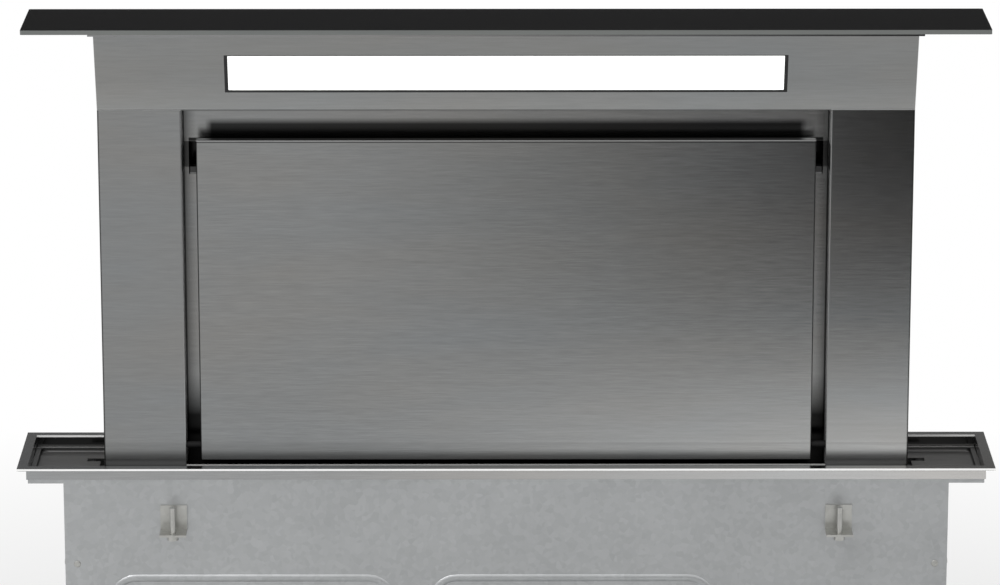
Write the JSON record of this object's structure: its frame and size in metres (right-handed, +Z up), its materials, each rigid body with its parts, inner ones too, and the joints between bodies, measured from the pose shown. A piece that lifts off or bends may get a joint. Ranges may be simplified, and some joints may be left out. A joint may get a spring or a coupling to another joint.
{
  "type": "downdraft vent",
  "caption": "Pop-up worktop downdraft extractor: lift-up steel column with tilting front panel, lit head and black glass top over a slim housing with belt lift, blower and side duct outlet.",
  "frame": {"origin": "middle of the worktop cut-out, on the worktop's upper surface", "axes": "+X to the right and +Y away from the cook, both level; +Z up, along the column's lift; the column is raised at rest"},
  "size_m": [0.88, 0.3134, 1.0726],
  "materials": {
    "rim_steel": "satin brushed stainless, grain along the sides",
    "foam": "closed-cell foam strip",
    "tray_steel": "satin stainless, pressed",
    "galvanised": "galvanised sheet, fine spangle",
    "zinc_plate": "zinc plated, dull",
    "wiper_rubber": "matte black rubber",
    "rail_aluminium": "extruded aluminium, satin",
    "belt_rubber": "black belt rubber, matte",
    "bearing_plastic": "natural acetal, satin",
    "shaft_steel": "ground bright steel",
    "pulley_plastic": "black glass-filled nylon",
    "gearbox_plastic": "black moulded housing",
    "motor_can": "drawn steel can, zinc passivated",
    "column_steel": "brushed stainless, horizontal grain",
    "head_steel": "brushed stainless, horizontal grain",
    "light_tray_paint": "white enamel",
    "diffuser_opal": "opal diffuser, lit",
    "board_white": "white circuit board with diodes",
    "glass_black": "black toughened glass, satin face, polished edge",
    "carrier_steel": "satin stainless plate",
    "board_green": "green circuit board",
    "intake_steel": "brushed stainless",
    "filter_aluminium": "natural aluminium frame, satin",
    "filter_core_aluminium": "bare aluminium slats",
    "handle_wire": "bright wire",
    "sill_steel": "bright brushed stainless lip",
    "frame_steel": "grey powder-coated frame",
    "shoe_plastic": "white sliding plastic",
    "clamp_aluminium": "milled aluminium",
    "panel_steel": "brushed stainless, horizontal grain",
    "pivot_plastic": "black nylon",
    "magnet_plastic": "black magnet holder",
    "volute_plastic": "black moulded scroll",
    "blower_motor_can": "plated motor can",
    "wheel_steel": "galvanised blades",
    "collar_plastic": "black moulded collar",
    "flap_plastic": "dark grey flap",
    "control_plastic": "dark grey enclosure, fine texture",
    "gland_plastic": "black nylon gland",
    "screw_steel": "zinc plated screws"
  },
  "bodies": {
    "housing": {"trim_frame": "rim_steel", "trim_seal": "foam", "end_tray_left": "tray_steel", "end_tray_right": "tray_steel", "housing_side_left": "galvanised", "housing_side_right": "galvanised", "housing_front": "galvanised", "housing_back": "galvanised", "floor_brackets": "zinc_plate", "worktop_clamps": "zinc_plate", "column_wipers": "wiper_rubber", "guide_rails": "rail_aluminium", "lift_belts": "belt_rubber", "idler_brackets": "zinc_plate", "shaft_bearings": "bearing_plastic", "lift_gearbox": "gearbox_plastic", "lift_motor": "motor_can", "gearmotor_bracket": "zinc_plate", "blower_box": "galvanised", "blower_lid": "galvanised", "volute_front": "volute_plastic", "volute_back": "volute_plastic", "blower_motor": "blower_motor_can", "outlet_collar": "collar_plastic", "control_box": "control_plastic", "control_lid": "control_plastic", "control_board": "board_green", "cable_glands": "gland_plastic", "lid_screws": "screw_steel"},
    "column": {"pillar_left": "column_steel", "pillar_right": "column_steel", "back_panel": "column_steel", "head_shell": "head_steel", "light_tray": "light_tray_paint", "light_diffuser": "diffuser_opal", "led_board": "board_white", "glass_top": "glass_black", "glass_carrier": "carrier_steel", "touch_board": "board_green", "intake_frame": "intake_steel", "filter_frame_left": "filter_aluminium", "filter_frame_right": "filter_aluminium", "filter_cores": "filter_core_aluminium", "sill": "sill_steel", "apron": "intake_steel", "lift_frame": "frame_steel", "slide_shoes": "shoe_plastic", "belt_clamps": "clamp_aluminium", "magnet_catches": "magnet_plastic"},
    "panel": {"front_panel": "panel_steel", "panel_pivots": "pivot_plastic"},
    "handle_left": {"filter_handle_left": "handle_wire"},
    "handle_right": {"filter_handle_right": "handle_wire"},
    "drive": {"drive_shaft": "shaft_steel", "drive_pulleys": "pulley_plastic"},
    "idler_left": {"idler_pulley_left": "pulley_plastic"},
    "idler_right": {"idler_pulley_right": "pulley_plastic"},
    "wheel": {"impeller": "wheel_steel"},
    "front_flap": {"flap_front": "flap_plastic"},
    "rear_flap": {"flap_rear": "flap_plastic"}
  },
  "joints": [
    {"name": "column_lift", "type": "slide", "parent": "housing", "child": "column", "axis": [0, 0, 1], "range_m": [-0.4, 0]},
    {"name": "panel_tilt", "type": "hinge", "parent": "column", "child": "panel", "pos_m": [0, -0.0135, 0.0126], "axis": [1, 0, 0], "range_deg": [0, 35]},
    {"name": "filter_handle_left_swing", "type": "hinge", "parent": "column", "child": "handle_left", "pos_m": [-0.142, 0.006, 0.245], "axis": [1, 0, 0], "range_deg": [-45, 0]},
    {"name": "filter_handle_right_swing", "type": "hinge", "parent": "column", "child": "handle_right", "pos_m": [0.142, 0.006, 0.245], "axis": [1, 0, 0], "range_deg": [-45, 0]},
    {"name": "drive_turn", "type": "hinge", "parent": "housing", "child": "drive", "pos_m": [0, -0.02, -0.565], "axis": [1, 0, 0], "continuous": true},
    {"name": "idler_left_turn", "type": "hinge", "parent": "housing", "child": "idler_left", "pos_m": [-0.385, -0.02, -0.04], "axis": [1, 0, 0], "continuous": true},
    {"name": "idler_right_turn", "type": "hinge", "parent": "housing", "child": "idler_right", "pos_m": [0.385, -0.02, -0.04], "axis": [1, 0, 0], "continuous": true},
    {"name": "impeller_spin", "type": "hinge", "parent": "housing", "child": "wheel", "pos_m": [0.03, -0.13, -0.48625], "axis": [0, 1, 0], "continuous": true},
    {"name": "flap_front_swing", "type": "hinge", "parent": "housing", "child": "front_flap", "pos_m": [-0.24, -0.13, -0.578], "axis": [0, 0, 1], "range_deg": [-75, 0], "stiffness_Nm_per_rad": 0.01, "springref_deg": 5.73},
    {"name": "flap_rear_swing", "type": "hinge", "parent": "housing", "child": "rear_flap", "pos_m": [-0.24, -0.13, -0.578], "axis": [0, 0, 1], "range_deg": [0, 75], "stiffness_Nm_per_rad": 0.01, "springref_deg": -5.73}
  ],
  "couplings": [
    {"joint": "drive_turn", "follows": "column_lift", "rad_per_m": 80},
    {"joint": "idler_left_turn", "follows": "column_lift", "rad_per_m": 80},
    {"joint": "idler_right_turn", "follows": "column_lift", "rad_per_m": 80}
  ]
}
